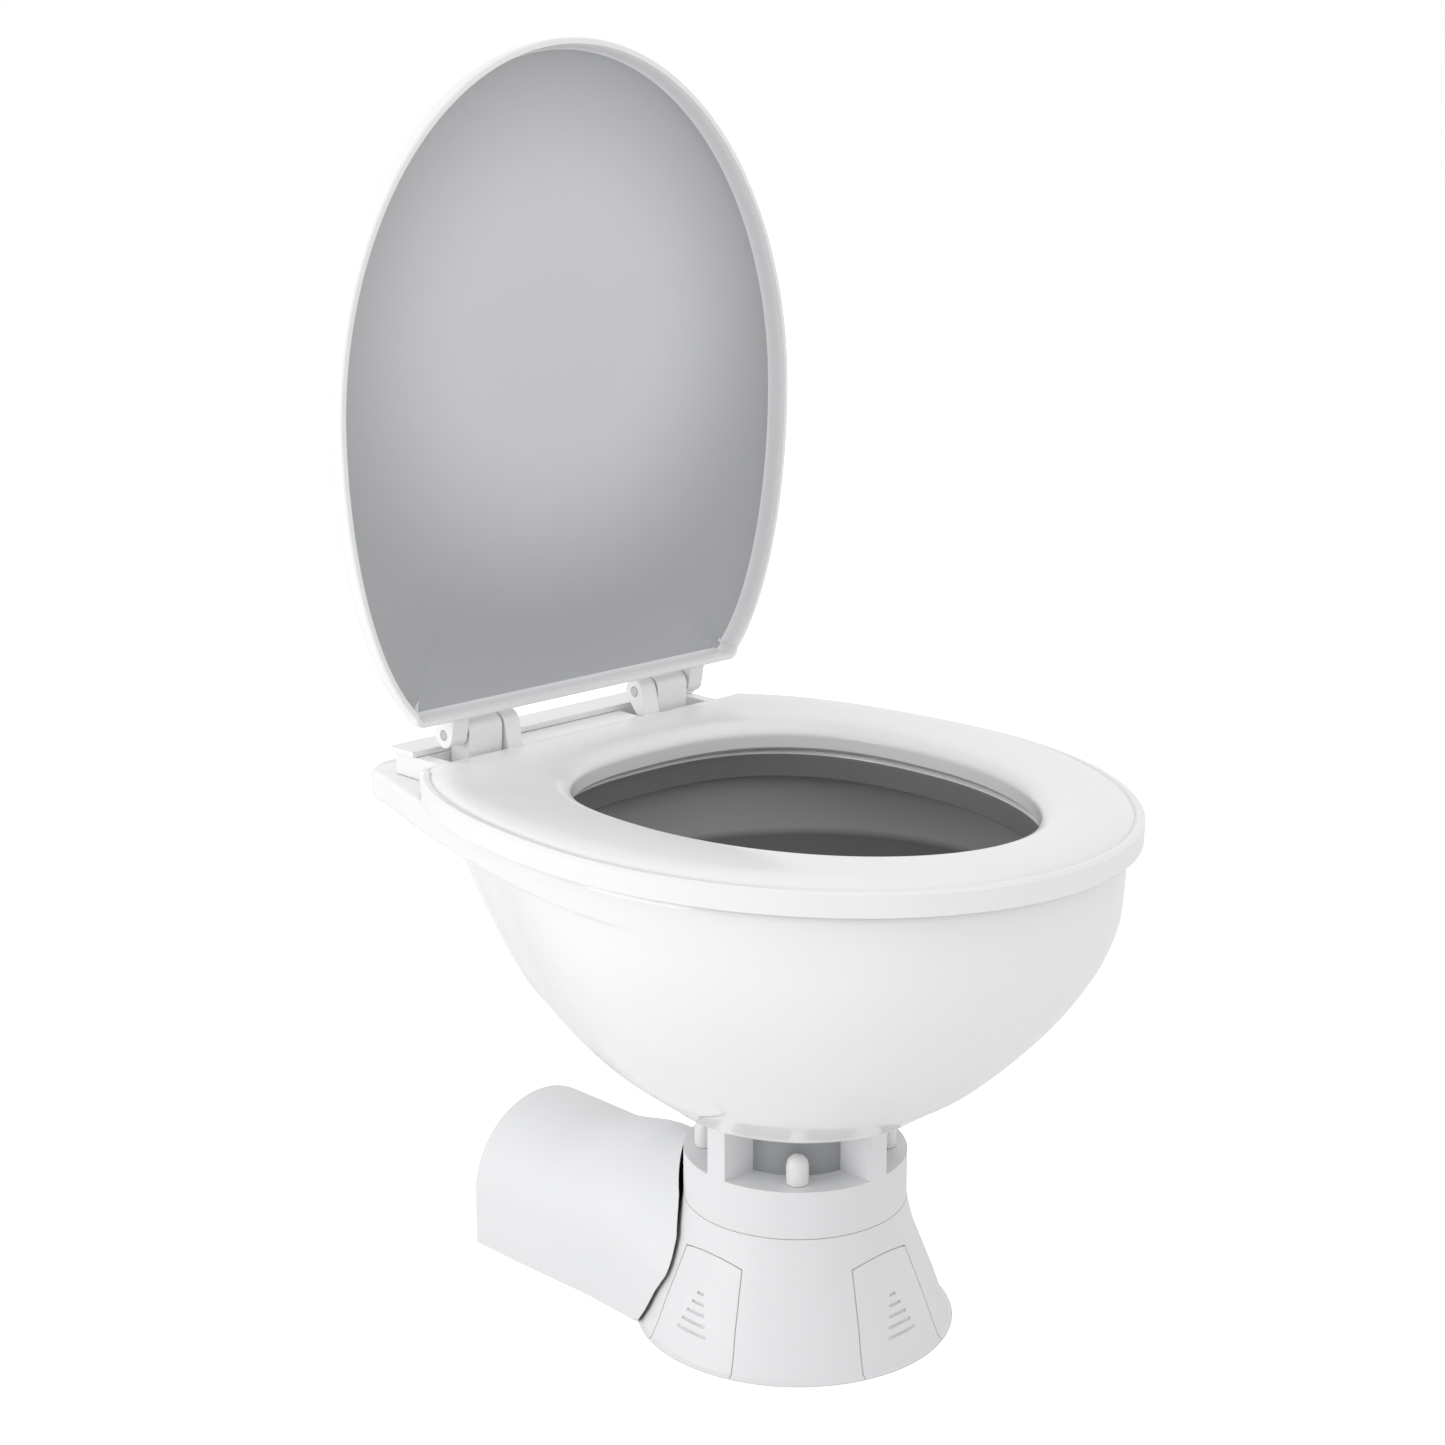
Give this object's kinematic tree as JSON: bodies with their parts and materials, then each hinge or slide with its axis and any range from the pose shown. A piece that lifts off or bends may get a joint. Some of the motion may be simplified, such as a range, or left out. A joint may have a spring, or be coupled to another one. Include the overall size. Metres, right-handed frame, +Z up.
{
  "type": "electric marine toilet",
  "caption": "Marine toilet: glazed bowl on a moulded pump base with an arched motor cover behind, soft-close seat and lid, rinse inlet and swivel discharge elbow.",
  "frame": {"origin": "on the floor, under the middle of the bowl's outlet, on the underside of the base plate", "axes": "+Z up, -Y towards the front of the bowl, +X towards the discharge side"},
  "size_m": [0.368, 0.4764, 0.7595],
  "materials": {
    "ceramic": "high-gloss white glaze",
    "lid_plastic": "satin gloss white",
    "seat_plastic": "gloss white",
    "nut_cap_plastic": "gloss white",
    "base_plastic": "fine satin moulded white",
    "black_rubber": "matt black",
    "grey_rubber": "matt grey",
    "stainless_steel": "brushed",
    "motor_paint": "satin grey paint",
    "black_plastic": "matt black",
    "pale_plastic": "satin off-white"
  },
  "bodies": {
    "base": {"base_plate": "base_plastic", "bowl": "ceramic", "bowl_bolt_front": "stainless_steel", "bowl_bolt_left": "stainless_steel", "bowl_bolt_rear": "stainless_steel", "bowl_bolt_right": "stainless_steel", "bowl_gasket": "black_rubber", "chopper_plate": "stainless_steel", "collar": "base_plastic", "dome_nut_front_left": "nut_cap_plastic", "dome_nut_front_right": "nut_cap_plastic", "dome_nut_rear_left": "nut_cap_plastic", "dome_nut_rear_right": "nut_cap_plastic", "foot": "base_plastic", "front_screw_cover": "base_plastic", "hinge_block": "seat_plastic", "hinge_bolt_left": "stainless_steel", "hinge_bolt_right": "stainless_steel", "hinge_cap": "seat_plastic", "hinge_washer_left": "black_rubber", "hinge_washer_right": "black_rubber", "inlet_grommet": "black_rubber", "joker_valve": "black_rubber", "left_screw_cover": "base_plastic", "lid_damper": "black_plastic", "lid_hinge_pin": "stainless_steel", "motor_body": "motor_paint", "motor_bracket": "black_plastic", "motor_cover": "base_plastic", "motor_end_cap": "black_plastic", "pump_front_plate": "black_plastic", "pump_housing": "black_plastic", "right_screw_cover": "base_plastic", "seat_damper": "black_plastic", "seat_hinge_pin": "stainless_steel", "shaft_seal": "black_rubber", "tie_bolt_front_left": "stainless_steel", "tie_bolt_front_right": "stainless_steel", "tie_bolt_rear_left": "stainless_steel", "tie_bolt_rear_right": "stainless_steel", "union_nut": "base_plastic", "wing_nut_left": "pale_plastic", "wing_nut_right": "pale_plastic"},
    "seat": {"seat": "seat_plastic", "seat_damper_shaft": "stainless_steel", "seat_pad_front_left": "grey_rubber", "seat_pad_front_right": "grey_rubber", "seat_pad_rear_left": "grey_rubber", "seat_pad_rear_right": "grey_rubber"},
    "lid": {"lid": "lid_plastic", "lid_damper_shaft": "stainless_steel"},
    "rotor": {"motor_shaft": "stainless_steel", "impeller": "pale_plastic", "macerator_blade": "stainless_steel"},
    "discharge_fitting": {"discharge_elbow": "base_plastic"},
    "rinse_fitting": {"inlet_elbow": "base_plastic"}
  },
  "joints": [
    {"name": "lid_hinge", "type": "hinge", "parent": "base", "child": "lid", "pos_m": [0, 0.1975, 0.3485], "axis": [-1, 0, 0], "range_deg": [-90, 0]},
    {"name": "seat_hinge", "type": "hinge", "parent": "base", "child": "seat", "pos_m": [0, 0.1975, 0.3485], "axis": [-1, 0, 0], "range_deg": [0, 85]},
    {"name": "motor_spin", "type": "hinge", "parent": "base", "child": "rotor", "pos_m": [-0.026, 0, 0.041], "axis": [0, 1, 0], "continuous": true},
    {"name": "discharge_swivel", "type": "hinge", "parent": "base", "child": "discharge_fitting", "pos_m": [0.058, 0.098, 0.041], "axis": [0, -1, 0], "range_deg": [0, 90]},
    {"name": "rinse_swivel", "type": "hinge", "parent": "base", "child": "rinse_fitting", "pos_m": [0, 0.228, 0.28], "axis": [0, 1, 0], "range_deg": [-90, 90]}
  ]
}
